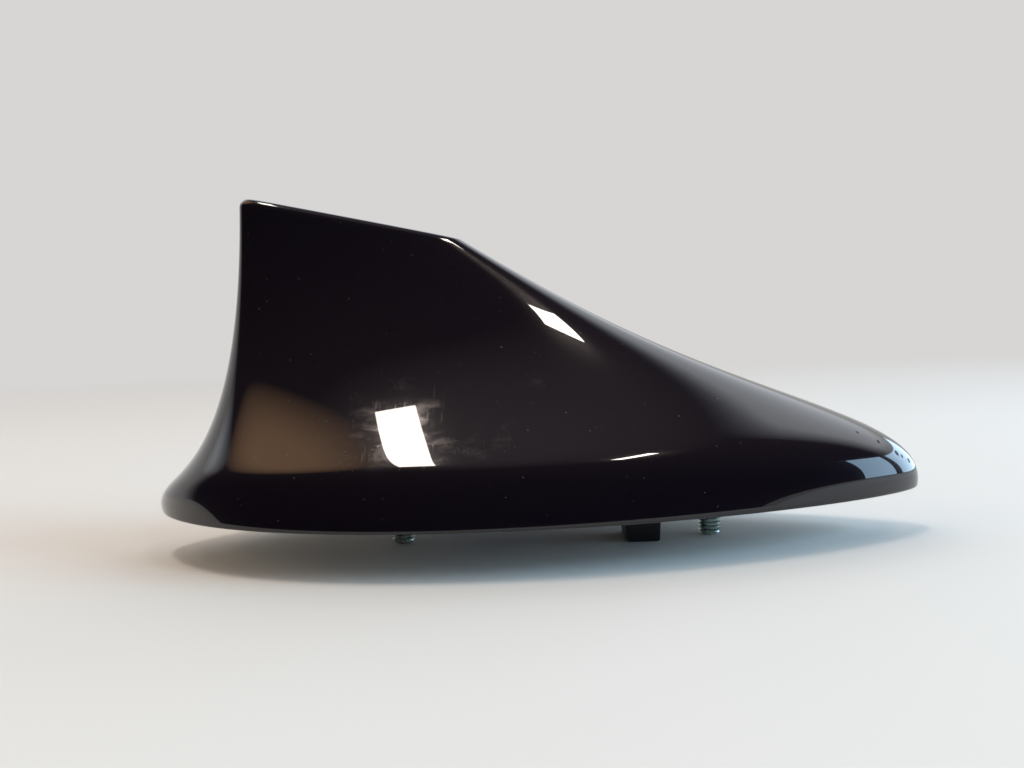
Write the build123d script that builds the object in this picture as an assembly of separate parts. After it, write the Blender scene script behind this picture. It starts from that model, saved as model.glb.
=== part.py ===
"""Shark-fin roof antenna for a car.

A painted cover is screwed to a die-cast base plate. The receiver board, the ceramic patch and the
upright fin board sit inside. Two studs, a locating lug and two coaxial sockets point down through
the roof opening. Sizes are in millimetres. The origin is midway between the studs on the roof
plane, +X points to the nose and +Z points up.
"""

from build123d import *
import os
from math import radians, tan

# Cover, measured over the outside
COVER_LENGTH = 165.0
COVER_WIDTH = 75.0
COVER_HEIGHT = 67.6
COVER_TAIL_X = -85.0
RIM_GAP = 0.4
WALL = 2.4
LEDGE = 2.4
FIN_TOP_SETBACK = 18.0
FIN_TOP_RISE = 0.8
FIN_TOP_FALL = 12.5
FIN_TOP_ROUND = 1.95
FIN_ROUND_LIMIT = 0.026
RIM_ROUND = 0.5
COVER_NOSE_X = COVER_TAIL_X + COVER_LENGTH

# Outer skin of the cover. Each line has nine control points from the rim to above the fin, given in
# percent of the cover's length from the tail, of its half width and of its height.
TAIL_PERCENT = [(-1, 0), (-2.6, 6), (0.7, 11), (3, 13), (6.5, 18), (8.5, 32), (10, 53), (11, 81), (11, 114)]
TAIL_HALF_PERCENT = [27, 17, 32, 75, 88, 56, 14, 14, 14]
REAR_PERCENT = [
    (12, 156, 0),
    (12, 149, 30),
    (11.5, 138, 27),
    (13, 114, 18),
    (15, 79, 22),
    (15, 43, 36),
    (14, 17, 54),
    (13.5, 13, 82),
    (13.5, 11, 114),
]
FRONT_PERCENT = [
    (60, 135, 0),
    (60, 130, 26),
    (60, 121, 19),
    (58, 109, 14),
    (54, 87, 25),
    (48.5, 53, 42),
    (42, 20, 60),
    (34, 13, 85),
    (18.5, 11, 114),
]
NOSE_HALF_PERCENT = [32, 27, 43, 46, 38, 28, 17, 11, 10]
NOSE_PERCENT = [
    (100, 0),
    (101, 10.5),
    (98, 20.5),
    (89.5, 27.5),
    (77, 35.5),
    (63.5, 46.5),
    (50.5, 65.5),
    (38, 91),
    (21, 114),
]

# How far each row of the inner skin stands in for the ledge and drops, as shares of the ledge and wall
LEDGE_SHARES = [1, 1, 0.5, 0, 0, 0, 0, 0, 0]
DROP_SHARES = [0, 0.1, 0.3, 0.5, 0.5, 0.5, 0.4, 0.4, 0.4]

# Layers from the roof plane upwards
SEAL_THICKNESS = 1.2
PLATE_THICKNESS = 2.2
CORD_THICKNESS = 1.2
PLATE_FIT = 0.3
PLATE_BOTTOM = SEAL_THICKNESS
PLATE_TOP = PLATE_BOTTOM + PLATE_THICKNESS
CORD_TOP = PLATE_TOP + CORD_THICKNESS
SEAL_INSET = 1.0
SEAL_BAND = 4.5
SPINE_WIDTH = 34.0
POCKET_MARGIN = 2.0
POCKET_DEPTH = 0.9

# Fixing studs and their earth rings
STUD_SPACING = 68.0
STUD_DIAMETER = 5.0
STUD_REACH = 8.8
STUD_TIP_CHAMFER = 0.7
STUD_SHOULDER_DIAMETER = 6.0
STUD_HEAD_DIAMETER = 9.0
STUD_HEAD_HEIGHT = 1.5
HOLE_CLEARANCE = 0.1
RING_DIAMETER = 14.0
RING_TEETH = 12
RING_TOOTH_WIDTH = 1.4
RING_TOOTH_DEPTH = 1.3

# Locating lug
LUG_X = 18.6
LUG_LENGTH = 7.2
LUG_WIDTH = 12.0
LUG_REACH = 9.1
LUG_DRAFT = 3.0
LUG_EDGE = 0.6
LUG_FOOT_MARGIN = 2.2
LUG_PEG_DIAMETER = 4.0
LUG_PEG_SPACING = 10.0
LUG_RIVET_DIAMETER = 6.0
LUG_RIVET_HEIGHT = 0.8

# Screws that hold the cover from below
REAR_SCREW_X = COVER_TAIL_X + 23.0
REAR_SCREW_Y = 12.0
FRONT_SCREW_X = COVER_NOSE_X - 18.0
COVER_SCREW_POINTS = [(REAR_SCREW_X, REAR_SCREW_Y), (REAR_SCREW_X, -REAR_SCREW_Y), (FRONT_SCREW_X, 0.0)]
COVER_SCREW_DIAMETER = 2.5
COVER_SCREW_LENGTH = 8.0
COVER_SCREW_HEAD_DIAMETER = 4.6
COVER_SCREW_HEAD_HEIGHT = 1.2
COVER_BOSS_DIAMETER = 6.0
DRIVE_WIDTH = 0.7
DRIVE_LENGTH = 2.6
DRIVE_DEPTH = 0.6
BLIND_END = 1.0

# Receiver board on four posts
BOARD_GAP = 2.6
BOARD_THICKNESS = 1.6
BOARD_REAR_X = COVER_TAIL_X + 35.0
BOARD_FRONT_X = COVER_NOSE_X - 28.0
BOARD_WIDTH = 35.0
BOARD_CORNER = 5.0
REAR_POST_X = BOARD_REAR_X + 5.0
REAR_POST_Y = 11.5
FRONT_POST_X = 11.0
FRONT_POST_Y = 14.8
POST_POINTS = [
    (REAR_POST_X, REAR_POST_Y),
    (REAR_POST_X, -REAR_POST_Y),
    (FRONT_POST_X, FRONT_POST_Y),
    (FRONT_POST_X, -FRONT_POST_Y),
]
REST_X = BOARD_FRONT_X - 5.0
REST_Y = 9.0
REST_POINTS = [(REST_X, REST_Y), (REST_X, -REST_Y)]
POST_DIAMETER = 6.0
BOARD_SCREW_DIAMETER = 2.0
BOARD_SCREW_LENGTH = 4.0
BOARD_SCREW_HEAD_DIAMETER = 4.0
BOARD_SCREW_HEAD_HEIGHT = 1.2
BOARD_BOTTOM = PLATE_TOP + BOARD_GAP
BOARD_TOP = BOARD_BOTTOM + BOARD_THICKNESS

# Satellite patch
PATCH_X = BOARD_FRONT_X - 16.5
PATCH_SIDE = 25.0
PATCH_THICKNESS = 4.0
PATCH_CHAMFER = 1.5
PAD_SIDE = 23.0
PAD_THICKNESS = 0.6
FEED_DIAMETER = 1.0
FEED_HEAD_DIAMETER = 2.6
FEED_HEAD_HEIGHT = 0.5
FEED_OFFSET = 1.6

# Shield can on the receiver board
CAN_X = -13.0
CAN_Y = 10.0
CAN_LENGTH = 24.0
CAN_WIDTH = 11.0
CAN_HEIGHT = 3.2
CAN_WALL = 0.3

# Upright fin board and its holder
FIN_BOARD_THICKNESS = 1.0
FIN_BOARD_TOP_GAP = 8.2
FIN_BOARD_REAR_X = COVER_TAIL_X + 25.0
FIN_BOARD_TOP_LENGTH = 33.0
FIN_BOARD_LENGTH = 53.0
FIN_BOARD_FRONT_HEIGHT = 20.0
HOLDER_X = COVER_TAIL_X + 50.0
HOLDER_LENGTH = 26.0
HOLDER_WIDTH = 6.0
HOLDER_HEIGHT = 4.4
HOLDER_END = 3.0
SLOT_CLEARANCE = 0.05

# Coaxial sockets
SOCKET_Y = 0.0
GPS_SOCKET_X = -14.0
PHONE_SOCKET_X = 0.0
SOCKET_SIDE = 10.2
SOCKET_CAVITY = 7.8
SOCKET_MOUTH_Z = -5.8
SOCKET_DEPTH = 9.4
KEY_WIDTH = 1.2
KEY_HEIGHT = 0.7
KEY_OFFSET = 2.4
SHELL_DIAMETER = 3.8
SHELL_BORE = 3.0
SHELL_RECESS = 4.6
INSULATOR_RECESS = 6.0
PIN_DIAMETER = 0.9
PIN_RECESS = 5.2
APERTURE_CLEARANCE = 0.6
FOAM_BAND = 4.0


def inset_row(row, inset):
    """Moves each leg of a row of control points inwards, seen from above."""
    mirrored = [Vector(p.X, -p.Y, p.Z) for p in (row[1], row[-2])]
    chain = [mirrored[0], *row, mirrored[1]]
    moved = []
    for before, point, after in zip(chain, chain[1:], chain[2:]):
        arriving = Vector(point.X - before.X, point.Y - before.Y, 0).normalized()
        leaving = Vector(after.X - point.X, after.Y - point.Y, 0).normalized()
        normals = [Vector(leg.Y, -leg.X, 0) for leg in (arriving, leaving)]
        shift = (normals[0] + normals[1]) * (inset / (1 + normals[0].dot(normals[1])))
        moved.append(point + shift)
    return moved


def skin_rows(insets, drops):
    """Control points of the skin, rim row first, moved in and down row by row."""
    rows = []
    lines = zip(TAIL_PERCENT, TAIL_HALF_PERCENT, REAR_PERCENT, FRONT_PERCENT, NOSE_HALF_PERCENT, NOSE_PERCENT)
    for (tail, tail_half, rear, front, nose_half, nose), inset, drop in zip(lines, insets, drops):
        percent = [
            (tail[0], 0, tail[1]),
            (tail[0], tail_half, tail[1]),
            rear,
            front,
            (nose[0], nose_half, nose[1]),
            (nose[0], 0, nose[1]),
        ]
        row = []
        for along, across, up in percent:
            x = COVER_TAIL_X + along / 100 * COVER_LENGTH
            y = across / 100 * COVER_WIDTH / 2
            z = RIM_GAP + up / 100 * (COVER_HEIGHT - RIM_GAP)
            row.append(Vector(x, y, z - drop))
        rows.append(inset_row(row, inset))
    return rows


def closed_outline(row):
    """Flat face inside one row and its mirror image."""
    side = Edge.make_bezier(*row)
    return Face(Wire([side, side.mirror(Plane.XZ)]))


def skin_body(insets, drops):
    """Closed body between the skin of one side and its mirror image."""
    rows = skin_rows(insets, drops)
    side = Face.make_bezier_surface(rows)
    return Solid(Shell([side, side.mirror(Plane.XZ), closed_outline(rows[0]), closed_outline(rows[-1])]))


def rim_outline(inset):
    """Outline of the cover's rim, moved in."""
    return closed_outline(skin_rows([inset], [0])[0])


def rim_slab(inset, bottom, top):
    """Flat slab that follows the cover's rim."""
    return Pos(0, 0, bottom - RIM_GAP) * extrude(rim_outline(inset), amount=top - bottom, dir=(0, 0, 1))


STANDING = (Align.CENTER, Align.CENTER, Align.MIN)


def column(x, y, bottom, top, diameter):
    """Upright cylinder between two heights."""
    return Pos(x, y, bottom) * Cylinder(diameter / 2, top - bottom, align=STANDING)


def hole(x, y, bottom, top, diameter):
    """Column to cut away, wider than what passes through it by the clearance all round."""
    return column(x, y, bottom, top, diameter + 2 * HOLE_CLEARANCE)


def block(x, y, bottom, top, length, width):
    """Box between two heights."""
    return Pos(x, y, bottom) * Box(length, width, top - bottom, align=STANDING)


def fin_top_plane(depth):
    """Sloping top of the fin, or a plane at a depth below it."""
    level = Plane((COVER_TAIL_X + FIN_TOP_SETBACK, 0, COVER_HEIGHT + FIN_TOP_RISE - depth))
    return level.rotated((0, FIN_TOP_FALL, 0))


def fin_top_height(x):
    """Height of the fin's sloping top at a place along the cover."""
    return COVER_HEIGHT + FIN_TOP_RISE - tan(radians(FIN_TOP_FALL)) * (x - COVER_TAIL_X - FIN_TOP_SETBACK)


def save(name, *shapes):
    """Writes one node, with every solid of the shapes given."""
    bodies = [body for shape in shapes for body in shape.solids()]
    node = bodies[0] if len(bodies) == 1 else Compound(bodies)
    node.label = name
    export_step(node, os.path.join("parts", name + ".step"))


os.makedirs("parts", exist_ok=True)

# Cover: outer skin less the inner skin and the pocket for the base plate, with moulded screw bosses
no_inset = [0 for line in TAIL_PERCENT]
outer = skin_body(no_inset, no_inset).split(fin_top_plane(0), keep=Keep.BOTTOM)
top_round = min(FIN_TOP_ROUND, FIN_ROUND_LIMIT * COVER_WIDTH)
outer = fillet(outer.faces().sort_by(Axis.Z)[-1].edges(), top_round)
outer = fillet(outer.faces().sort_by(Axis.Z)[0].edges(), RIM_ROUND)
inner_insets = [WALL + share * LEDGE for share in LEDGE_SHARES]
inner_drops = [share * WALL for share in DROP_SHARES]
inner = skin_body(inner_insets, inner_drops).split(fin_top_plane(WALL), keep=Keep.BOTTOM)
cover = outer - inner - rim_slab(WALL, 0, CORD_TOP)
screw_seat = PLATE_BOTTOM + COVER_SCREW_HEAD_HEIGHT
screw_end = screw_seat + COVER_SCREW_LENGTH
for x, y in COVER_SCREW_POINTS:
    cover += column(x, y, PLATE_TOP, COVER_HEIGHT, COVER_BOSS_DIAMETER) & outer
for x, y in COVER_SCREW_POINTS:
    cover -= hole(x, y, 0, screw_end + BLIND_END, COVER_SCREW_DIAMETER)
save("cover", cover)

# Sealing cord between the cover's ledge and the base plate
cord = rim_slab(WALL + PLATE_FIT, PLATE_TOP, CORD_TOP) - rim_slab(WALL + LEDGE, PLATE_TOP, CORD_TOP)
save("cover_seal", cord)

# Base plate with board posts and openings for studs, sockets, lug pegs and screws
stud_points = [(-STUD_SPACING / 2, 0), (STUD_SPACING / 2, 0)]
peg_points = [(LUG_X, -LUG_PEG_SPACING / 2), (LUG_X, LUG_PEG_SPACING / 2)]
aperture_x = (GPS_SOCKET_X + PHONE_SOCKET_X) / 2
aperture_length = PHONE_SOCKET_X - GPS_SOCKET_X + SOCKET_SIDE + 2 * APERTURE_CLEARANCE
aperture_width = SOCKET_SIDE + 2 * APERTURE_CLEARANCE
board_screw_end = BOARD_TOP - BOARD_SCREW_LENGTH
plate = rim_slab(WALL + PLATE_FIT, PLATE_BOTTOM, PLATE_TOP)
pocket_inset = WALL + PLATE_FIT + SEAL_INSET + SEAL_BAND + POCKET_MARGIN
pocket_top = PLATE_BOTTOM + POCKET_DEPTH
pockets = rim_slab(pocket_inset, PLATE_BOTTOM, pocket_top)
pockets -= block((COVER_TAIL_X + COVER_NOSE_X) / 2, 0, PLATE_BOTTOM, pocket_top, COVER_LENGTH, SPINE_WIDTH)
plate -= pockets
plate -= block(aperture_x, SOCKET_Y, PLATE_BOTTOM, PLATE_TOP, aperture_length, aperture_width)
for x, y in POST_POINTS + REST_POINTS:
    plate += column(x, y, PLATE_TOP, BOARD_BOTTOM, POST_DIAMETER)
for x, y in POST_POINTS:
    plate -= hole(x, y, board_screw_end - HOLE_CLEARANCE, BOARD_BOTTOM, BOARD_SCREW_DIAMETER)
for x, y in stud_points:
    plate -= hole(x, y, PLATE_BOTTOM, PLATE_TOP, STUD_SHOULDER_DIAMETER)
for x, y in peg_points:
    plate -= hole(x, y, PLATE_BOTTOM, PLATE_TOP, LUG_PEG_DIAMETER)
for x, y in COVER_SCREW_POINTS:
    plate -= hole(x, y, PLATE_BOTTOM, screw_seat, COVER_SCREW_HEAD_DIAMETER)
    plate -= hole(x, y, PLATE_BOTTOM, PLATE_TOP, COVER_SCREW_DIAMETER)
save("base_plate", plate)

# Rubber band that seals the plate to the roof
seal_outer = WALL + PLATE_FIT + SEAL_INSET
seal = rim_slab(seal_outer, 0, PLATE_BOTTOM) - rim_slab(seal_outer + SEAL_BAND, 0, PLATE_BOTTOM)
save("rim_seal", seal)

# Foam frame round the socket opening
foam_length = aperture_length + 2 * FOAM_BAND
foam_width = aperture_width + 2 * FOAM_BAND
foam = block(aperture_x, SOCKET_Y, 0, PLATE_BOTTOM, foam_length, foam_width)
foam -= block(aperture_x, SOCKET_Y, 0, PLATE_BOTTOM, aperture_length, aperture_width)
save("aperture_seal", foam)

# Two fixing studs, headed above the plate
studs = []
for x, y in stud_points:
    stud = column(x, y, -STUD_REACH, 0, STUD_DIAMETER)
    stud = chamfer(stud.edges().sort_by(Axis.Z)[0], STUD_TIP_CHAMFER)
    stud += column(x, y, 0, PLATE_TOP, STUD_SHOULDER_DIAMETER)
    stud += column(x, y, PLATE_TOP, PLATE_TOP + STUD_HEAD_HEIGHT, STUD_HEAD_DIAMETER)
    studs.append(stud)
save("fixing_studs", *studs)

# Toothed earth rings between plate and roof, one round each stud
rings = []
for x, y in stud_points:
    ring = column(x, y, 0, PLATE_BOTTOM, RING_DIAMETER)
    ring -= hole(x, y, 0, PLATE_BOTTOM, STUD_SHOULDER_DIAMETER)
    notch = block(RING_DIAMETER / 2, 0, 0, PLATE_BOTTOM, 2 * RING_TOOTH_DEPTH, RING_TOOTH_WIDTH)
    for step in range(RING_TEETH):
        ring -= Pos(x, y) * Rot(0, 0, step * 360 / RING_TEETH) * notch
    rings.append(ring)
save("earth_rings", *rings)

# Locating lug, riveted to the plate by two moulded pegs
lug = extrude(Pos(0, 0, -LUG_REACH) * Rectangle(LUG_LENGTH, LUG_WIDTH), amount=LUG_REACH, taper=-LUG_DRAFT)
lug = Pos(LUG_X, 0) * chamfer(lug.faces().sort_by(Axis.Z)[0].edges(), LUG_EDGE)
lug += block(LUG_X, 0, 0, PLATE_BOTTOM, LUG_LENGTH + 2 * LUG_FOOT_MARGIN, LUG_WIDTH + 2 * LUG_FOOT_MARGIN)
for x, y in peg_points:
    lug += column(x, y, PLATE_BOTTOM, PLATE_TOP, LUG_PEG_DIAMETER)
    lug += column(x, y, PLATE_TOP, PLATE_TOP + LUG_RIVET_HEIGHT, LUG_RIVET_DIAMETER)
save("locating_lug", lug)

# Cover screws, put in from below with their heads flush in the plate
screws = []
for x, y in COVER_SCREW_POINTS:
    screw = column(x, y, PLATE_BOTTOM, screw_seat, COVER_SCREW_HEAD_DIAMETER)
    screw += column(x, y, screw_seat, screw_end, COVER_SCREW_DIAMETER)
    screw -= block(x, y, PLATE_BOTTOM, PLATE_BOTTOM + DRIVE_DEPTH, DRIVE_LENGTH, DRIVE_WIDTH)
    screw -= block(x, y, PLATE_BOTTOM, PLATE_BOTTOM + DRIVE_DEPTH, DRIVE_WIDTH, DRIVE_LENGTH)
    screws.append(screw)
save("cover_screws", *screws)

# Receiver board
board_x = (BOARD_REAR_X + BOARD_FRONT_X) / 2
board_length = BOARD_FRONT_X - BOARD_REAR_X
board = block(board_x, 0, BOARD_BOTTOM, BOARD_TOP, board_length, BOARD_WIDTH)
board = chamfer(board.edges().filter_by(Axis.Z), BOARD_CORNER)
feed_x = PATCH_X + FEED_OFFSET
for x, y in POST_POINTS:
    board -= hole(x, y, BOARD_BOTTOM, BOARD_TOP, BOARD_SCREW_DIAMETER)
for x in (GPS_SOCKET_X, PHONE_SOCKET_X):
    board -= hole(x, SOCKET_Y, BOARD_BOTTOM, BOARD_TOP, PIN_DIAMETER)
board -= hole(feed_x, 0, BOARD_BOTTOM, BOARD_TOP, FEED_DIAMETER)
save("receiver_board", board)

# Screws that hold the receiver board on its posts
board_screws = []
for x, y in POST_POINTS:
    screw = column(x, y, BOARD_TOP, BOARD_TOP + BOARD_SCREW_HEAD_HEIGHT, BOARD_SCREW_HEAD_DIAMETER)
    board_screws.append(screw + column(x, y, board_screw_end, BOARD_TOP, BOARD_SCREW_DIAMETER))
save("board_screws", *board_screws)

# Satellite patch: adhesive pad, ceramic block and feed pin
pad_top = BOARD_TOP + PAD_THICKNESS
patch_top = pad_top + PATCH_THICKNESS
feed_hole = hole(feed_x, 0, BOARD_TOP, patch_top, FEED_DIAMETER)
save("patch_pad", block(PATCH_X, 0, BOARD_TOP, pad_top, PAD_SIDE, PAD_SIDE) - feed_hole)
patch = block(PATCH_X, 0, pad_top, patch_top, PATCH_SIDE, PATCH_SIDE)
patch = chamfer(patch.edges().filter_by(Axis.Z), PATCH_CHAMFER)
save("gps_patch", patch - feed_hole)
feed = column(feed_x, 0, BOARD_BOTTOM, patch_top, FEED_DIAMETER)
save("gps_feed_pin", feed + column(feed_x, 0, patch_top, patch_top + FEED_HEAD_HEIGHT, FEED_HEAD_DIAMETER))

# Shield can over the amplifier
can_top = BOARD_TOP + CAN_HEIGHT
can = block(CAN_X, CAN_Y, BOARD_TOP, can_top, CAN_LENGTH, CAN_WIDTH)
can -= block(CAN_X, CAN_Y, BOARD_TOP, can_top - CAN_WALL, CAN_LENGTH - 2 * CAN_WALL, CAN_WIDTH - 2 * CAN_WALL)
save("shield_can", can)

# Upright fin board in its holder
tab_length = HOLDER_LENGTH - 2 * HOLDER_END
holder_top = BOARD_TOP + HOLDER_HEIGHT
slot_length = tab_length + 2 * SLOT_CLEARANCE
slot_width = FIN_BOARD_THICKNESS + 2 * SLOT_CLEARANCE
holder = block(HOLDER_X, 0, BOARD_TOP, holder_top, HOLDER_LENGTH, HOLDER_WIDTH)
save("fin_holder", holder - block(HOLDER_X, 0, BOARD_TOP, holder_top, slot_length, slot_width))
top_front_x = FIN_BOARD_REAR_X + FIN_BOARD_TOP_LENGTH
front_x = FIN_BOARD_REAR_X + FIN_BOARD_LENGTH
fin_profile = Polyline(
    (HOLDER_X - tab_length / 2, BOARD_TOP),
    (HOLDER_X + tab_length / 2, BOARD_TOP),
    (HOLDER_X + tab_length / 2, holder_top),
    (front_x, holder_top),
    (front_x, holder_top + FIN_BOARD_FRONT_HEIGHT),
    (top_front_x, fin_top_height(top_front_x) - FIN_BOARD_TOP_GAP),
    (FIN_BOARD_REAR_X, fin_top_height(FIN_BOARD_REAR_X) - FIN_BOARD_TOP_GAP),
    (FIN_BOARD_REAR_X, holder_top),
    (HOLDER_X - tab_length / 2, holder_top),
    close=True,
)
save("fin_board", extrude(Plane.XZ * make_face(fin_profile), amount=FIN_BOARD_THICKNESS / 2, both=True))

# Two coaxial sockets hung under the receiver board
for name, x, key_y in (("gps", GPS_SOCKET_X, KEY_OFFSET), ("phone", PHONE_SOCKET_X, -KEY_OFFSET)):
    cavity_top = SOCKET_MOUTH_Z + SOCKET_DEPTH
    pin_hole = hole(x, SOCKET_Y, cavity_top, BOARD_BOTTOM, PIN_DIAMETER)
    housing = block(x, SOCKET_Y, SOCKET_MOUTH_Z, BOARD_BOTTOM, SOCKET_SIDE, SOCKET_SIDE)
    key = block(x, SOCKET_Y + key_y, SOCKET_MOUTH_Z, 0, SOCKET_SIDE + 2 * KEY_HEIGHT, KEY_WIDTH)
    cavity = block(x, SOCKET_Y, SOCKET_MOUTH_Z, cavity_top, SOCKET_CAVITY, SOCKET_CAVITY)
    save(name + "_socket_housing", housing + key - cavity - pin_hole)
    shell = column(x, SOCKET_Y, SOCKET_MOUTH_Z + SHELL_RECESS, cavity_top, SHELL_DIAMETER)
    shell_bore = column(x, SOCKET_Y, SOCKET_MOUTH_Z + SHELL_RECESS, cavity_top, SHELL_BORE)
    save(name + "_socket_shell", shell - shell_bore)
    insulator = column(x, SOCKET_Y, SOCKET_MOUTH_Z + INSULATOR_RECESS, cavity_top, SHELL_BORE)
    pin_bore = column(x, SOCKET_Y, SOCKET_MOUTH_Z + INSULATOR_RECESS, cavity_top, PIN_DIAMETER)
    save(name + "_socket_insulator", insulator - pin_bore)
    save(name + "_socket_pin", column(x, SOCKET_Y, SOCKET_MOUTH_Z + PIN_RECESS, BOARD_TOP, PIN_DIAMETER))
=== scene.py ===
import math

import bmesh
import bpy
import numpy as np
from mathutils import Matrix, Vector


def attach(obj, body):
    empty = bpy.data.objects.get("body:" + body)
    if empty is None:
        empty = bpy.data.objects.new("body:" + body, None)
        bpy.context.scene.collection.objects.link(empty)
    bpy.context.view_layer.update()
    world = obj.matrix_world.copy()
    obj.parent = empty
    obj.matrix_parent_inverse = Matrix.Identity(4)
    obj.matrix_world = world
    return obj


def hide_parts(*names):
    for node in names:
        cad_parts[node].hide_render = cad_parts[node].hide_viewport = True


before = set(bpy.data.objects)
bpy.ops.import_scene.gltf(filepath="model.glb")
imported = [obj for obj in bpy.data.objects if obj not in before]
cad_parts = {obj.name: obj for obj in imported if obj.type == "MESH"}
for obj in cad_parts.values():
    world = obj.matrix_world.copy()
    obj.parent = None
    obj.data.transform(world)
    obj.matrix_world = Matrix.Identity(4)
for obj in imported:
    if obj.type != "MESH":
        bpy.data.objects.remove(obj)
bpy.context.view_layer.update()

# Base plate: one aluminium die casting that carries the electronics and closes the cover from below.
# Satin, slightly mottled casting skin; the studs, lug and sockets pass through it.
MM = 0.001
FACE_JOIN = 0.002 * MM
SHARP_DEGREES = 40
EDGE_SEGMENTS = 2
TONE_SPREAD = (0.35, 0.65)
SHEEN_SPREAD = (0.3, 0.7)


def new_finish(name, colour, roughness, metallic=0.0):
    """Material with its shader and Object coordinates, ready for a pattern."""
    material = bpy.data.materials.new(name)
    material.use_nodes = True
    nodes = material.node_tree.nodes
    shader = nodes["Principled BSDF"]
    shader.inputs["Base Color"].default_value = (*colour, 1)
    shader.inputs["Roughness"].default_value = roughness
    shader.inputs["Metallic"].default_value = metallic
    coords = nodes.new("ShaderNodeTexCoord").outputs["Object"]
    return material, shader, coords


def wire(material, source, target):
    """Joins an output socket to an input socket."""
    material.node_tree.links.new(source, target)


def noise(material, coords, size, detail=2.0, stretch=(1, 1, 1)):
    """Noise between 0 and 1 whose lumps are about this size, longer along a stretched axis."""
    nodes = material.node_tree.nodes
    mapping = nodes.new("ShaderNodeMapping")
    mapping.inputs["Scale"].default_value = [1 / size / s for s in stretch]
    wire(material, coords, mapping.inputs["Vector"])
    texture = nodes.new("ShaderNodeTexNoise")
    texture.inputs["Scale"].default_value = 1.0
    texture.inputs["Detail"].default_value = detail
    wire(material, mapping.outputs["Vector"], texture.inputs["Vector"])
    return texture.outputs["Fac"]


def between(material, value, low, high, start=0.0, end=1.0):
    """Spreads a value from one range to another and holds it there."""
    node = material.node_tree.nodes.new("ShaderNodeMapRange")
    node.inputs["From Min"].default_value = low
    node.inputs["From Max"].default_value = high
    node.inputs["To Min"].default_value = start
    node.inputs["To Max"].default_value = end
    wire(material, value, node.inputs["Value"])
    return node.outputs["Result"]


def blended(material, mask, first, second):
    """Colour that turns from the first to the second by a mask."""
    node = material.node_tree.nodes.new("ShaderNodeMix")
    node.data_type = "RGBA"
    for socket, colour in ((node.inputs["A"], first), (node.inputs["B"], second)):
        if isinstance(colour, tuple):
            socket.default_value = (*colour, 1)
        else:
            wire(material, colour, socket)
    wire(material, mask, node.inputs["Factor"])
    return node.outputs["Result"]


def relief(material, shader, height, depth):
    """Raises the surface by a height map of this depth."""
    node = material.node_tree.nodes.new("ShaderNodeBump")
    node.inputs["Strength"].default_value = 1.0
    node.inputs["Distance"].default_value = depth
    wire(material, height, node.inputs["Height"])
    wire(material, node.outputs["Normal"], shader.inputs["Normal"])


def mottled(name, dark, light, lump, rough, grain, depth, metallic=0.0):
    """Finish with two tones in lumps, an uneven sheen and a fine grain."""
    material, shader, coords = new_finish(name, dark, rough[0], metallic)
    lumps = noise(material, coords, lump, detail=4.0)
    tone = blended(material, between(material, lumps, *TONE_SPREAD), dark, light)
    wire(material, tone, shader.inputs["Base Color"])
    wire(material, between(material, lumps, *SHEEN_SPREAD, *rough), shader.inputs["Roughness"])
    relief(material, shader, noise(material, coords, grain, detail=3.0), depth)
    return material


def dress(node, material, edge=0.0):
    """Gives a CAD node its finish, and rounds its sharp edges where a width is given."""
    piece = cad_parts[node]
    piece.data.materials.clear()
    piece.data.materials.append(material)
    if edge:
        piece.modifiers.new("joined_faces", "WELD").merge_threshold = FACE_JOIN
        bevel = piece.modifiers.new("edge_round", "BEVEL")
        bevel.width = edge
        bevel.segments = EDGE_SEGMENTS
        bevel.limit_method = "ANGLE"
        bevel.angle_limit = math.radians(SHARP_DEGREES)
        bevel.harden_normals = True


casting = mottled(
    "die_cast",
    dark=(0.36, 0.37, 0.38),
    light=(0.5, 0.51, 0.52),
    lump=4 * MM,
    rough=(0.42, 0.58),
    grain=0.35 * MM,
    depth=0.03 * MM,
    metallic=1.0,
)
dress("base_plate", casting, edge=0.15 * MM)

# Earth rings: toothed spring-steel washers round the studs that bite through the roof's paint.
# Tinned, with a faint drawn sheen.
tinned = mottled(
    "tinned_steel",
    dark=(0.5, 0.5, 0.48),
    light=(0.66, 0.65, 0.62),
    lump=1.5 * MM,
    rough=(0.25, 0.42),
    grain=0.2 * MM,
    depth=0.01 * MM,
    metallic=1.0,
)
dress("earth_rings", tinned, edge=0.08 * MM)

# Fixing studs: headed M5 studs pressed into the plate, which take the nuts inside the roof.
# Steel, zinc plated with a green-yellow passivation; the thread is rolled, so its crests are rounded.
STUD_XS = (-34 * MM, 34 * MM)
STUD_END = -8.8 * MM
STUD_TIP_RADIUS = 1.8 * MM
THREAD_PITCH = 0.8 * MM
THREAD_CREST = 2.5 * MM
THREAD_ROOT = 2.02 * MM
THREAD_STEPS = 40
THREAD_TURNS = 15
THREAD_RUN_IN = 2
THREAD_TOP = 0.2 * MM
THREAD_SEAM = 0.004 * MM
CUT_TOLERANCE = 1e-7
THREAD_PROFILE = [
    (THREAD_ROOT, 0),
    (THREAD_ROOT, 0.12),
    (THREAD_CREST, 0.43),
    (THREAD_CREST, 0.57),
    (THREAD_ROOT, 0.88),
    (THREAD_ROOT, 1),
]
MERGE_DISTANCE = 0.001 * MM
SHOULDER_RADIUS = 3 * MM
SHOULDER_TOP = 3.4 * MM
HEAD_RADIUS = 4.5 * MM
HEAD_TOP = 4.9 * MM
HEAD_ROUND = 0.3 * MM


def chain(bm, points):
    """Open line of edges through the points, as geometry to spin or extrude."""
    verts = [bm.verts.new(p) for p in points]
    edges = [bm.edges.new(pair) for pair in zip(verts, verts[1:])]
    return verts + edges


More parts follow.
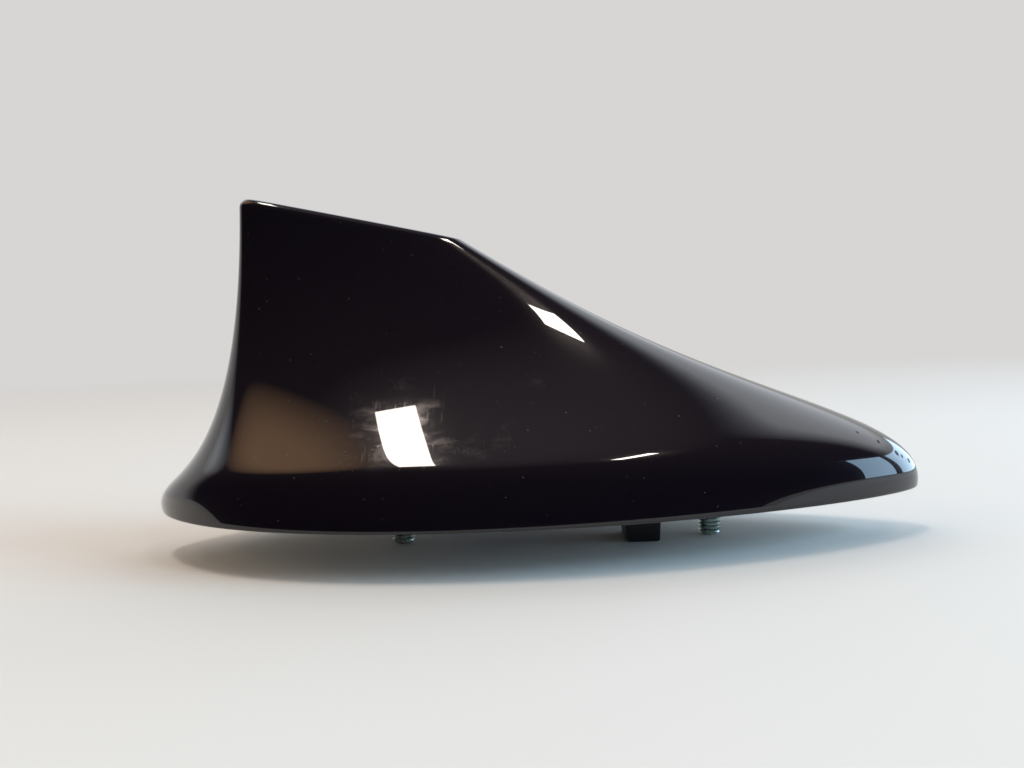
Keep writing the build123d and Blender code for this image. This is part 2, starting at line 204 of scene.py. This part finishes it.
def turned(bm, profile, x, y=0.0, steps=48):
    """Lathe shape from (radius, height) pairs about an upright axis."""
    line = chain(bm, [(x + r, y, z) for r, z in profile])
    bmesh.ops.spin(
        bm, geom=line, cent=(x, y, 0), axis=(0, 0, 1), angle=math.tau, steps=steps, use_merge=True
    )


def finished(name, bm, material, replaced, smooth_to=35):
    """Merges and closes a piece's mesh, turns its faces outwards and puts it on the frame."""
    bmesh.ops.remove_doubles(bm, verts=bm.verts, dist=MERGE_DISTANCE)
    bmesh.ops.dissolve_degenerate(bm, edges=bm.edges, dist=MERGE_DISTANCE)
    bmesh.ops.recalc_face_normals(bm, faces=bm.faces)
    for face in bm.faces:
        face.smooth = True
    for edge in bm.edges:
        edge.smooth = len(edge.link_faces) == 2 and edge.calc_face_angle() < math.radians(smooth_to)
    mesh = bpy.data.meshes.new(name)
    bm.to_mesh(mesh)
    bm.free()
    mesh.materials.append(material)
    piece = bpy.data.objects.new(name, mesh)
    bpy.context.scene.collection.objects.link(piece)
    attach(piece, "root")
    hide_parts(*replaced)


studs = bmesh.new()
for stud_x in STUD_XS:
    thread = bmesh.new()
    thread_start = STUD_END - THREAD_RUN_IN * THREAD_PITCH
    turn_line = [(stud_x + r, 0, thread_start + share * THREAD_PITCH) for r, share in THREAD_PROFILE]
    bmesh.ops.spin(
        thread,
        geom=chain(thread, turn_line),
        cent=(stud_x, 0, 0),
        axis=(0, 0, 1),
        dvec=(0, 0, THREAD_PITCH / THREAD_STEPS),
        angle=math.tau * THREAD_TURNS,
        steps=THREAD_STEPS * THREAD_TURNS,
    )
    bmesh.ops.remove_doubles(thread, verts=thread.verts, dist=THREAD_SEAM)
    for level, up in ((STUD_END, -1), (THREAD_TOP, 1)):
        bmesh.ops.bisect_plane(
            thread,
            geom=thread.verts[:] + thread.edges[:] + thread.faces[:],
            dist=CUT_TOLERANCE,
            plane_co=(0, 0, level),
            plane_no=(0, 0, up),
            clear_outer=True,
        )
    for vert in thread.verts:
        arm = Vector((vert.co.x - stud_x, vert.co.y, 0))
        limit = STUD_TIP_RADIUS + vert.co.z - STUD_END
        if arm.length > limit:
            arm *= limit / arm.length
            vert.co.x, vert.co.y = stud_x + arm.x, arm.y
    bmesh.ops.holes_fill(thread, edges=[e for e in thread.edges if e.is_boundary])
    thread_mesh = bpy.data.meshes.new("thread")
    thread.to_mesh(thread_mesh)
    thread.free()
    studs.from_mesh(thread_mesh)
    bpy.data.meshes.remove(thread_mesh)
    stud_profile = [
        (0, 0),
        (SHOULDER_RADIUS, 0),
        (SHOULDER_RADIUS, SHOULDER_TOP),
        (HEAD_RADIUS, SHOULDER_TOP),
        (HEAD_RADIUS, HEAD_TOP - HEAD_ROUND),
        (HEAD_RADIUS - HEAD_ROUND, HEAD_TOP),
        (0, HEAD_TOP),
    ]
    turned(studs, stud_profile, stud_x)

ZINC_DARK = (0.3, 0.38, 0.37)
ZINC_LIGHT = (0.54, 0.62, 0.56)
zinc, zinc_shader, zinc_coords = new_finish("green_zinc", (0.36, 0.5, 0.5), roughness=0.3, metallic=1.0)
zinc_cloud = between(zinc, noise(zinc, zinc_coords, size=1.2 * MM, detail=3.0), *TONE_SPREAD)
wire(zinc, blended(zinc, zinc_cloud, ZINC_DARK, ZINC_LIGHT), zinc_shader.inputs["Base Color"])
wire(zinc, between(zinc, zinc_cloud, 0, 1, start=0.22, end=0.4), zinc_shader.inputs["Roughness"])
relief(zinc, zinc_shader, noise(zinc, zinc_coords, size=0.15 * MM), depth=0.006 * MM)
finished("threaded_studs", studs, zinc, ["fixing_studs"], smooth_to=50)

# Locating lug: a drafted block that drops into the roof opening and sets the aerial straight.
# Black nylon moulding with a foot and two pegs that are headed over above the plate.
LUG_X = 18.6 * MM
LUG_LENGTH = 7.2 * MM
LUG_WIDTH = 12 * MM
LUG_REACH = 9.1 * MM
LUG_DRAFT = 3.0
LUG_TOP = 0.5 * MM
LUG_EDGE = 0.5 * MM
LUG_FOOT_MARGIN = 2.2 * MM
LUG_FOOT_TOP = 1.2 * MM
LUG_FOOT_EDGE = 0.25 * MM
LUG_EDGE_SEGMENTS = 3
PEG_Y = 5 * MM
PEG_RADIUS = 2 * MM
PEG_BOTTOM = 0.6 * MM
PEG_TOP = 3.4 * MM
RIVET_RADIUS = 3 * MM
RIVET_SHOULDER_RADIUS = 2.7 * MM
RIVET_SHOULDER_TOP = 3.85 * MM
RIVET_FLAT_RADIUS = 1.65 * MM
RIVET_TOP = 4.2 * MM
PEG_STEPS = 32


def slab(bm, bottom, top, length, width, edge, spread=0.0):
    """Rounded block of the lug between two heights, wider at the top by a spread on each side."""
    made = bmesh.ops.create_cube(bm, size=1)["verts"]
    for vert in made:
        extra = 2 * spread if vert.co.z > 0 else 0
        vert.co.x = LUG_X + vert.co.x * (length + extra)
        vert.co.y *= width + extra
        vert.co.z = top if vert.co.z > 0 else bottom
    bmesh.ops.bevel(
        bm,
        geom=list({e for v in made for e in v.link_edges}),
        offset=edge,
        segments=LUG_EDGE_SEGMENTS,
        profile=0.5,
        affect="EDGES",
        material=-1,
    )


lug = bmesh.new()
lug_spread = LUG_REACH * math.tan(math.radians(LUG_DRAFT))
slab(lug, -LUG_REACH, LUG_TOP, LUG_LENGTH, LUG_WIDTH, LUG_EDGE, spread=lug_spread)
foot_length = LUG_LENGTH + 2 * LUG_FOOT_MARGIN
foot_width = LUG_WIDTH + 2 * LUG_FOOT_MARGIN
slab(lug, 0, LUG_FOOT_TOP, foot_length, foot_width, LUG_FOOT_EDGE)
for peg_y in (-PEG_Y, PEG_Y):
    peg_profile = [
        (0, PEG_BOTTOM),
        (PEG_RADIUS, PEG_BOTTOM),
        (PEG_RADIUS, PEG_TOP),
        (RIVET_RADIUS, PEG_TOP),
        (RIVET_SHOULDER_RADIUS, RIVET_SHOULDER_TOP),
        (RIVET_FLAT_RADIUS, RIVET_TOP),
        (0, RIVET_TOP),
    ]
    turned(lug, peg_profile, LUG_X, peg_y, steps=PEG_STEPS)
nylon = mottled(
    "black_nylon",
    dark=(0.004, 0.004, 0.005),
    light=(0.009, 0.009, 0.011),
    lump=2.5 * MM,
    rough=(0.48, 0.62),
    grain=0.12 * MM,
    depth=0.012 * MM,
)
finished("roof_lug", lug, nylon, ["locating_lug"])

# Rim seal and foam frame: the rubber band that keeps water out round the plate's edge, and the soft
# frame round the socket opening. Both are glued to the underside of the plate.
rubber = mottled(
    "seal_rubber",
    dark=(0.012, 0.012, 0.013),
    light=(0.024, 0.024, 0.025),
    lump=3 * MM,
    rough=(0.62, 0.8),
    grain=0.18 * MM,
    depth=0.02 * MM,
)
foam = mottled(
    "foam_skin",
    dark=(0.03, 0.03, 0.032),
    light=(0.06, 0.06, 0.064),
    lump=0.8 * MM,
    rough=(0.85, 0.95),
    grain=0.3 * MM,
    depth=0.12 * MM,
)
dress("rim_seal", rubber)
dress("aperture_seal", foam, edge=0.25 * MM)

# Receiver board with its patch, shield can and screws: the electronics that sit sealed on the plate.
# Green glass-epoxy, pale fired ceramic, tinned sheet and small zinc screws.
epoxy = mottled(
    "board_lacquer",
    dark=(0.015, 0.12, 0.05),
    light=(0.025, 0.17, 0.075),
    lump=2 * MM,
    rough=(0.28, 0.4),
    grain=0.4 * MM,
    depth=0.01 * MM,
)
ceramic = mottled(
    "fired_ceramic",
    dark=(0.55, 0.5, 0.42),
    light=(0.66, 0.61, 0.53),
    lump=1.5 * MM,
    rough=(0.5, 0.65),
    grain=0.2 * MM,
    depth=0.015 * MM,
)
pad_foam = mottled(
    "adhesive_pad",
    dark=(0.68, 0.66, 0.6),
    light=(0.78, 0.76, 0.69),
    lump=1 * MM,
    rough=(0.8, 0.9),
    grain=0.3 * MM,
    depth=0.05 * MM,
)
bright_zinc = mottled(
    "bright_zinc",
    dark=(0.45, 0.45, 0.46),
    light=(0.62, 0.62, 0.62),
    lump=1 * MM,
    rough=(0.28, 0.42),
    grain=0.15 * MM,
    depth=0.006 * MM,
    metallic=1.0,
)
gilt = mottled(
    "gilt_brass",
    dark=(0.62, 0.44, 0.16),
    light=(0.76, 0.58, 0.26),
    lump=0.8 * MM,
    rough=(0.2, 0.32),
    grain=0.1 * MM,
    depth=0.003 * MM,
    metallic=1.0,
)
for node, finish in (
    ("receiver_board", epoxy),
    ("fin_board", epoxy),
    ("fin_holder", nylon),
    ("board_screws", bright_zinc),
    ("patch_pad", pad_foam),
    ("gps_patch", ceramic),
    ("gps_feed_pin", gilt),
    ("shield_can", tinned),
):
    dress(node, finish)

# Coaxial sockets: two coded plastic housings that hang through the roof, blue for the satellite lead
# and bordeaux for the telephone lead, each with a gilt shell, a white insulator and a gilt pin.
blue = mottled(
    "blue_moulding",
    dark=(0.012, 0.06, 0.28),
    light=(0.02, 0.085, 0.36),
    lump=2 * MM,
    rough=(0.38, 0.5),
    grain=0.15 * MM,
    depth=0.01 * MM,
)
bordeaux = mottled(
    "bordeaux_moulding",
    dark=(0.14, 0.012, 0.03),
    light=(0.2, 0.02, 0.045),
    lump=2 * MM,
    rough=(0.38, 0.5),
    grain=0.15 * MM,
    depth=0.01 * MM,
)
insulator = mottled(
    "white_insulator",
    dark=(0.7, 0.69, 0.66),
    light=(0.8, 0.79, 0.76),
    lump=1 * MM,
    rough=(0.35, 0.45),
    grain=0.2 * MM,
    depth=0.004 * MM,
)
for lead, housing in (("gps", blue), ("phone", bordeaux)):
    dress(lead + "_socket_housing", housing, edge=0.15 * MM)
    dress(lead + "_socket_shell", gilt)
    dress(lead + "_socket_insulator", insulator)
    dress(lead + "_socket_pin", gilt)

# Sealing cord: a thin closed ring of rubber in the pocket between the cover's ledge and the plate.
# It is laid in loose, and the cover screws press it flat.
dress("cover_seal", rubber)

# Cover: a thin-walled moulding, lacquered to match the car, nearly black with a warm aubergine tint.
# One skin of two mirrored Bezier patches, cut by the sloping fin top, with a ledge for the plate.
# The lacquer has fine polishing scratches, dust, and chips down to the plastic along the nose.
COVER_LENGTH = 165 * MM
COVER_WIDTH = 75 * MM
COVER_HEIGHT = 67.6 * MM
COVER_TAIL_X = -85 * MM
RIM_Z = 0.4 * MM
RIM_ROUND = 0.5 * MM
COVER_WALL = 2.4 * MM
COVER_LEDGE = 2.4 * MM
POCKET_TOP = 4.6 * MM
FIN_TOP_SETBACK = 18 * MM
FIN_TOP_RISE = 0.8 * MM
FIN_TOP_FALL = 12.5
FIN_TOP_ROUND = 1.95 * MM
TAIL_PERCENT = [(-1, 0), (-2.6, 6), (0.7, 11), (3, 13), (6.5, 18), (8.5, 32), (10, 53), (11, 81), (11, 114)]
TAIL_HALF_PERCENT = [27, 17, 32, 75, 88, 56, 14, 14, 14]
REAR_PERCENT = [
    (12, 156, 0),
    (12, 149, 30),
    (11.5, 138, 27),
    (13, 114, 18),
    (15, 79, 22),
    (15, 43, 36),
    (14, 17, 54),
    (13.5, 13, 82),
    (13.5, 11, 114),
]
FRONT_PERCENT = [
    (60, 135, 0),
    (60, 130, 26),
    (60, 121, 19),
    (58, 109, 14),
    (54, 87, 25),
    (48.5, 53, 42),
    (42, 20, 60),
    (34, 13, 85),
    (18.5, 11, 114),
]
NOSE_HALF_PERCENT = [32, 27, 43, 46, 38, 28, 17, 11, 10]
NOSE_PERCENT = [
    (100, 0),
    (101, 10.5),
    (98, 20.5),
    (89.5, 27.5),
    (77, 35.5),
    (63.5, 46.5),
    (50.5, 65.5),
    (38, 91),
    (21, 114),
]
LEDGE_SHARES = [1, 1, 0.5, 0, 0, 0, 0, 0, 0]
DROP_SHARES = [0, 0.1, 0.3, 0.5, 0.5, 0.5, 0.4, 0.4, 0.4]
SKIN_COLUMNS = 150
OUTER_ROWS = 112
INNER_ROWS = 24
TOP_ROUND_ROWS = 8
RIM_ROUND_ROWS = 5
HALVINGS = 40
GRID_HALF = 0.5


def inset_line(line, inset):
    """Moves each leg of a row of control points inwards, seen from above."""
    flip = np.array([1, -1, 1])
    ends = [line[1] * flip, *line, line[-2] * flip]
    moved = []
    for before, point, after in zip(ends, ends[1:], ends[2:]):
        legs = [(point - before)[:2], (after - point)[:2]]
        normals = [np.array([leg[1], -leg[0]]) / np.hypot(*leg) for leg in legs]
        shift = (normals[0] + normals[1]) * inset / (1 + normals[0] @ normals[1])
        moved.append(point + np.array([*shift, 0]))
    return np.array(moved)


def skin_net(insets, drops):
    """Control points of one side of the skin, rim row first."""
    net = []
    for row, (tail, nose) in enumerate(zip(TAIL_PERCENT, NOSE_PERCENT)):
        percent = np.array([
            (tail[0], 0, tail[1]),
            (tail[0], TAIL_HALF_PERCENT[row], tail[1]),
            REAR_PERCENT[row],
            FRONT_PERCENT[row],
            (nose[0], NOSE_HALF_PERCENT[row], nose[1]),
            (nose[0], 0, nose[1]),
        ])
        line = percent / 100 * (COVER_LENGTH, COVER_WIDTH / 2, COVER_HEIGHT - RIM_Z)
        line += (COVER_TAIL_X, 0, RIM_Z - drops[row])
        net.append(inset_line(line, insets[row]))
    return np.array(net)


def weights(degree, t):
    """Bernstein weights of a Bezier curve at t."""
    return np.array([math.comb(degree, i) * t**i * (1 - t) ** (degree - i) for i in range(degree + 1)])


def rib(net, u):
    """Control points of the skin's curve from rim to top at a place along the cover."""
    return np.einsum("j,ijk->ik", weights(net.shape[1] - 1, u), net)


def on_rib(line, v):
    """Point of a rib, or of another row of control points."""
    return weights(len(line) - 1, v) @ line


def slope(line, t):
    """Direction of a Bezier curve."""
    return weights(len(line) - 2, t) @ np.diff(line, axis=0)


def crossing(line, over):
    """Place on a rib, from the rim up, where a height that grows along it reaches zero."""
    low, high = 0.0, 1.0
    for _ in range(HALVINGS):
        middle = (low + high) / 2
        low, high = (middle, high) if over(on_rib(line, middle)) < 0 else (low, middle)
    return (low + high) / 2


def unit(vector):
    """The same direction, one long."""
    return vector / np.linalg.norm(vector)


def rounded(skin, u, v, flat, away, radius):
    """The skin's edge with a flat face: where its round leaves the flat, the edge, its depth and turn."""
    edge = on_rib(rib(skin, u), v)
    along = slope(np.einsum("i,ijk->jk", weights(len(skin) - 1, v), skin), u)
    normal = unit(np.cross(along, slope(rib(skin, u), v)))
    line = unit(np.cross(flat, normal))
    inward = np.cross(flat, line)
    inward *= -np.sign(inward @ away)
    down = np.cross(normal, line)
    down *= -np.sign(down @ flat)
    half = math.acos(np.clip(inward @ down, -1, 1)) / 2
    reach = radius / math.tan(half)
    return edge + reach * inward, edge, reach * -(down @ flat), math.sin(half)


def arc(start, edge, end, weight, rows):
    """Points of a round between two tangents that meet at an edge, both ends included."""
    points = []
    for s in np.linspace(0, 1, rows + 1):
        shares = np.array([(1 - s) ** 2, 2 * s * (1 - s) * weight, s**2])
        points.append(shares @ np.array([start, edge, end]) / shares.sum())
    return points


fin_top_fall = math.radians(FIN_TOP_FALL)
FIN_TOP_NORMAL = np.array([math.sin(fin_top_fall), 0, math.cos(fin_top_fall)])
FIN_TOP_POINT = np.array([COVER_TAIL_X + FIN_TOP_SETBACK, 0, COVER_HEIGHT + FIN_TOP_RISE])
RIM_NORMAL = np.array([0, 0, -1.0])
no_shift = [0] * len(TAIL_PERCENT)
outer_net = skin_net(no_shift, no_shift)
ledge_insets = [COVER_WALL + share * COVER_LEDGE for share in LEDGE_SHARES]
wall_drops = [share * COVER_WALL for share in DROP_SHARES]
inner_net = skin_net(ledge_insets, wall_drops)
pocket_line = inset_line(outer_net[0], COVER_WALL)


def over_top(point, depth=0.0):
    """Height of a point over the fin top, or over a level below it."""
    return (point - FIN_TOP_POINT + (0, 0, depth)) @ FIN_TOP_NORMAL


def cover_section(u):
    """Run of points round the wall at a place along the cover, from inside the top to outside it."""
    outer, inner = rib(outer_net, u), rib(inner_net, u)
    outwards = {0.0: np.array([-1.0, 0, 0]), 1.0: np.array([1.0, 0, 0])}.get(u, np.array([0, 1.0, 0]))
    inner_top = crossing(inner, lambda p: over_top(p, COVER_WALL))
    ledge = crossing(inner, lambda p: p[2] - POCKET_TOP)
    run = [on_rib(inner, v) for v in np.linspace(inner_top, ledge, INNER_ROWS)]
    run.insert(0, run[0] * (1, 0, 1))
    pocket = on_rib(pocket_line, u)
    run += [np.array([*pocket[:2], POCKET_TOP]), np.array([*pocket[:2], RIM_Z])]
    flat_end, edge, rise, weight = rounded(outer_net, u, 0, RIM_NORMAL, outwards, RIM_ROUND)
    rim_v = crossing(outer, lambda p: p[2] - RIM_Z - rise)
    run += arc(flat_end, edge, on_rib(outer, rim_v), weight, RIM_ROUND_ROWS)
    top_v = crossing(outer, over_top)
    flat_end, edge, drop, weight = rounded(outer_net, u, top_v, FIN_TOP_NORMAL, outwards, FIN_TOP_ROUND)
    round_v = crossing(outer, lambda p: over_top(p) + drop)
    run += [on_rib(outer, v) for v in np.linspace(rim_v, round_v, OUTER_ROWS)[1:-1]]
    run += arc(on_rib(outer, round_v), edge, flat_end, weight, TOP_ROUND_ROWS)
    run.append(flat_end * (1, 0, 1))
    return run


sections = [cover_section(i / SKIN_COLUMNS) for i in range(SKIN_COLUMNS + 1)]
section_rows = len(sections[0]) - 1
cover = bmesh.new()
bmesh.ops.create_grid(cover, x_segments=SKIN_COLUMNS, y_segments=section_rows, size=GRID_HALF)
for vert in cover.verts:
    column = round((vert.co.x + GRID_HALF) * SKIN_COLUMNS)
    vert.co = sections[column][round((vert.co.y + GRID_HALF) * section_rows)]
half_cover = cover.verts[:] + cover.edges[:] + cover.faces[:]
bmesh.ops.mirror(cover, geom=half_cover, axis="Y", merge_dist=MERGE_DISTANCE)

LACQUER_COLOUR = (0.0032, 0.0018, 0.003)
PLASTIC_COLOUR = (0.004, 0.004, 0.0045)
DUST_COLOUR = (0.12, 0.11, 0.11)
WEAR_TINT = (1.0, 0.88, 0.82)
FAINT_SHEEN = 0.05
DUST_DULLING = 0.6
COAT_ROUGHNESS = 0.015
COAT_IOR = 1.5
SMEAR_SIZE = 2.2 * MM
UPRIGHT_SCRATCH = 0.2 * MM
LEVEL_SCRATCH = 0.18 * MM
DUST_SIZE = 0.4 * MM
RAGGED_SIZE = 0.5 * MM
CHIPS = [
    (64.2, -9.0, 13.8, 0.45),
    (69.0, -8.0, 11.6, 0.6),
    (73.2, -6.7, 8.66, 0.7),
    (74.6, -5.9, 7.9, 0.45),
    (76.5, -4.5, 6.7, 0.7),
]
WORN = [(-31, -26, 19, 16), (-14, -29, 17, 7), (-4.2, -18, 27, 3)]
lacquer, lacquer_shader, lacquer_coords = new_finish("dark_lacquer", LACQUER_COLOUR, roughness=0.16)


def combined(material, operation, first, second):
    """One value worked out from two, each a number or a socket."""
    node = material.node_tree.nodes.new("ShaderNodeMath")
    node.operation = operation
    for socket, value in zip(node.inputs, (first, second)):
        if isinstance(value, float):
            socket.default_value = value
        else:
            wire(material, value, socket)
    return node.outputs["Value"]


def spots(places, core):
    """Mask of ragged spots on the lacquer, each a place and a radius in mm, full within its core."""
    ragged = between(lacquer, noise(lacquer, lacquer_coords, RAGGED_SIZE), 0.2, 0.8, start=0.5, end=1.6)
    mask = None
    for x, y, z, radius in places:
        away = lacquer.node_tree.nodes.new("ShaderNodeVectorMath")
        away.operation = "DISTANCE"
        wire(lacquer, lacquer_coords, away.inputs[0])
        away.inputs[1].default_value = (x * MM, y * MM, z * MM)
        uneven = combined(lacquer, "MULTIPLY", away.outputs["Value"], ragged)
        spot = between(lacquer, uneven, core * radius * MM, radius * MM, start=1.0, end=0.0)
        mask = spot if mask is None else combined(lacquer, "MAXIMUM", mask, spot)
    return mask


def patchy(size, low, high, pattern):
    """Pattern that shows only in patches of the lacquer."""
    patches = between(lacquer, noise(lacquer, lacquer_coords, size, detail=3.0), low, high)
    return combined(lacquer, "MULTIPLY", patches, pattern)


worn = spots(WORN, core=0.3)
smears = noise(lacquer, lacquer_coords, SMEAR_SIZE, detail=3.0, stretch=(2.5, 1, 1))
smears = between(lacquer, smears, 0.4, 0.7, end=0.7)
upright = noise(lacquer, lacquer_coords, UPRIGHT_SCRATCH, detail=0.0, stretch=(1, 30, 30))
upright = between(lacquer, upright, 0.66, 0.78, end=0.8)
level = noise(lacquer, lacquer_coords, LEVEL_SCRATCH, detail=0.0, stretch=(60, 1, 1))
level = between(lacquer, level, 0.7, 0.8, end=0.8)
smears = patchy(size=6 * MM, low=0.38, high=0.6, pattern=smears)
upright = patchy(size=5 * MM, low=0.45, high=0.58, pattern=upright)
level = patchy(size=6 * MM, low=0.5, high=0.6, pattern=level)
scratches = combined(lacquer, "MAXIMUM", upright, level)
wear = combined(lacquer, "MAXIMUM", smears, scratches)
sheen = combined(lacquer, "MAXIMUM", combined(lacquer, "MULTIPLY", wear, worn), FAINT_SHEEN)
wire(lacquer, sheen, lacquer_shader.inputs["Specular IOR Level"])
lacquer_shader.inputs["Specular Tint"].default_value = (*WEAR_TINT, 1)
dust = between(lacquer, noise(lacquer, lacquer_coords, DUST_SIZE, detail=0.0), 0.865, 0.89)
chipped = spots(CHIPS, core=0.85)
dusted = blended(lacquer, dust, LACQUER_COLOUR, DUST_COLOUR)
wire(lacquer, blended(lacquer, chipped, dusted, PLASTIC_COLOUR), lacquer_shader.inputs["Base Color"])
bare = combined(lacquer, "MAXIMUM", chipped, combined(lacquer, "MULTIPLY", dust, DUST_DULLING))
wire(lacquer, between(lacquer, bare, 0, 1, start=1.0, end=0.0), lacquer_shader.inputs["Coat Weight"])
lacquer_shader.inputs["Coat Roughness"].default_value = COAT_ROUGHNESS
lacquer_shader.inputs["Coat IOR"].default_value = COAT_IOR
finished("painted_cover", cover, lacquer, ["cover"])

# Cover screws: three small screws put in from below, their heads sunk flush in the plate.
# Steel with bright zinc; they hold the cover down on its seal.
dress("cover_screws", bright_zinc, edge=0.06 * MM)

# Studio: a pale floor under the lug in a plain room, pale behind the object and dim before it. Two lamps
# hang under the ceiling, the room is warm on the tail's side and a cool window stands by the nose; a soft
# fill from either side lifts the shadow and stays out of the reflections.
FLOOR_Z = -LUG_REACH
FLOOR_HALF = 4
FLOOR_FADE = (0.3, 1.0)
FLOOR_COLOUR = (0.62, 0.595, 0.55)
ROOM_PALE = (0.68, 0.67, 0.66)
ROOM_LIT = (1.55, 1.63, 1.75)
ROOM_DIM = (0.025, 0.025, 0.045)
ROOM_UPPER = (0.09, 0.075, 0.09)
ROOM_CEILING = (0.34, 0.29, 0.31)
ROOM_WARM = (1.7, 1.03, 0.6)
WARM_DIRECTION = (-0.588, 0.02, 0.809)
WARM_EDGE = (0.93, 0.99)
UPPER_RISE = (0.1, 0.8)
CEILING_RISE = (0.86, 1.0)
LIT_START = (0.36, 0.46)
LIT_END = (0.78, 0.88)
BACK_EDGE = (0.1, 0.3)
LAMP_WHITE = (1, 0.93, 0.84)
WINDOW_BLUE = (0.5, 0.74, 1)
FILL_COOL = (0.5, 0.76, 1)
FILL_WARM = (1, 0.82, 0.6)
NOSE_AIM = (0.07, 0, 0.02)

floor = bmesh.new()
bmesh.ops.create_grid(floor, x_segments=1, y_segments=1, size=FLOOR_HALF)
for vert in floor.verts:
    vert.co.z = FLOOR_Z
floor_mesh = bpy.data.meshes.new("floor")
floor.to_mesh(floor_mesh)
floor.free()
paper, paper_shader, paper_coords = new_finish("floor_paper", FLOOR_COLOUR, roughness=0.9)
span = paper.node_tree.nodes.new("ShaderNodeVectorMath")
span.operation = "LENGTH"
wire(paper, paper_coords, span.inputs[0])
rays = paper.node_tree.nodes.new("ShaderNodeLightPath").outputs
seen = combined(paper, "MAXIMUM", rays["Is Camera Ray"], rays["Is Glossy Ray"])
seen = combined(paper, "MAXIMUM", seen, rays["Is Transmission Ray"])
distant = paper.node_tree.nodes.new("ShaderNodeEmission")
distant.inputs["Color"].default_value = (*ROOM_PALE, 1)
fading = paper.node_tree.nodes.new("ShaderNodeMixShader")
far = between(paper, span.outputs["Value"], *FLOOR_FADE)
wire(paper, combined(paper, "MULTIPLY", far, seen), fading.inputs["Fac"])
wire(paper, paper_shader.outputs["BSDF"], fading.inputs[1])
wire(paper, distant.outputs["Emission"], fading.inputs[2])
wire(paper, fading.outputs["Shader"], paper.node_tree.nodes["Material Output"].inputs["Surface"])
floor_mesh.materials.append(paper)
floor_sheet = bpy.data.objects.new("floor", floor_mesh)
bpy.context.scene.collection.objects.link(floor_sheet)

room = bpy.data.worlds.new("room")
room.use_nodes = True
bpy.context.scene.world = room
direction = room.node_tree.nodes.new("ShaderNodeSeparateXYZ")
room_coords = room.node_tree.nodes.new("ShaderNodeTexCoord").outputs["Generated"]
wire(room, room_coords, direction.inputs["Vector"])
height = direction.outputs["Z"]
front = blended(room, between(room, height, *UPPER_RISE), ROOM_DIM, ROOM_UPPER)
front = blended(room, between(room, height, *CEILING_RISE), front, ROOM_CEILING)
back = blended(room, between(room, height, *LIT_START), ROOM_PALE, ROOM_LIT)
back = blended(room, between(room, height, *LIT_END), back, front)
around = blended(room, between(room, direction.outputs["Y"], *BACK_EDGE), front, back)
warm = room.node_tree.nodes.new("ShaderNodeVectorMath")
warm.operation = "DOT_PRODUCT"
warm.inputs[1].default_value = WARM_DIRECTION
wire(room, room_coords, warm.inputs[0])
around = blended(room, between(room, warm.outputs["Value"], *WARM_EDGE), around, ROOM_WARM)
wire(room, around, room.node_tree.nodes["Background"].inputs["Color"])


def panel(name, place, aim, colour, width, length, radiance, turn=0.0, mirrored=True):
    """Soft rectangular lamp that faces a point, with its surface's radiance, seen in reflections or not."""
    lamp = bpy.data.lights.new(name, "AREA")
    lamp.shape = "RECTANGLE"
    lamp.size = width
    lamp.size_y = length
    lamp.color = colour
    lamp.energy = radiance * math.pi * width * length
    fitting = bpy.data.objects.new(name, lamp)
    bpy.context.scene.collection.objects.link(fitting)
    facing = (Vector(aim) - Vector(place)).to_track_quat("-Z", "Y").to_matrix().to_4x4()
    fitting.matrix_world = Matrix.Translation(place) @ facing @ Matrix.Rotation(math.radians(turn), 4, "Z")
    fitting.visible_camera = False
    fitting.visible_glossy = mirrored


panel(
    "ceiling_left", (-0.5, -0.13, 2.5), (-0.5, -0.13, 0), LAMP_WHITE, width=0.283, length=0.81, radiance=25
)
panel(
    "ceiling_right",
    (1.03, -0.62, 2.5),
    (1.03, -0.62, 0),
    LAMP_WHITE,
    width=0.1,
    length=0.5,
    radiance=42,
    turn=-15.6,
)
panel("cool_side_front", (1.46, -0.1, 0.25), NOSE_AIM, WINDOW_BLUE, width=0.4, length=0.5, radiance=5)
panel("cool_side_back", (1.25, 0.62, 0.25), NOSE_AIM, WINDOW_BLUE, width=0.9, length=0.5, radiance=5)
for name, place, aim, colour, radiance in (
    ("cool_fill", (1.2, -0.35, 0.45), (0.05, 0, 0), FILL_COOL, 12),
    ("warm_fill", (-1.2, -0.3, 0.45), (-0.05, 0, 0), FILL_WARM, 3),
):
    panel(name, place, aim, colour, width=0.9, length=0.8, radiance=radiance, mirrored=False)

# Camera: it stands where the photo was taken from, a little over the part's middle height, looks slightly
# down and is slightly rolled. The focal length is given in pixels of the picture's width.
CAMERA_PLACE = (-7.975 * MM, -220.479 * MM, 38.521 * MM)
CAMERA_PITCH = 3.327
CAMERA_YAW = 0.237
CAMERA_ROLL = 1.812
FOCAL_PIXELS = 1000.78
IMAGE_WIDTH = 1024
SENSOR_WIDTH = 36
NEAREST_SEEN = 10 * MM
view = bpy.data.cameras.new("photo_view")
view.sensor_width = SENSOR_WIDTH
view.lens = SENSOR_WIDTH * FOCAL_PIXELS / IMAGE_WIDTH
view.clip_start = NEAREST_SEEN
camera = bpy.data.objects.new("photo_view", view)
bpy.context.scene.collection.objects.link(camera)
turn = Matrix.Rotation(math.radians(CAMERA_YAW), 4, "Z")
turn = turn @ Matrix.Rotation(math.radians(90 - CAMERA_PITCH), 4, "X")
turn = turn @ Matrix.Rotation(math.radians(-CAMERA_ROLL), 4, "Z")
camera.matrix_world = Matrix.Translation(CAMERA_PLACE) @ turn
bpy.context.scene.camera = camera
bpy.context.scene.view_settings.view_transform = "Standard"
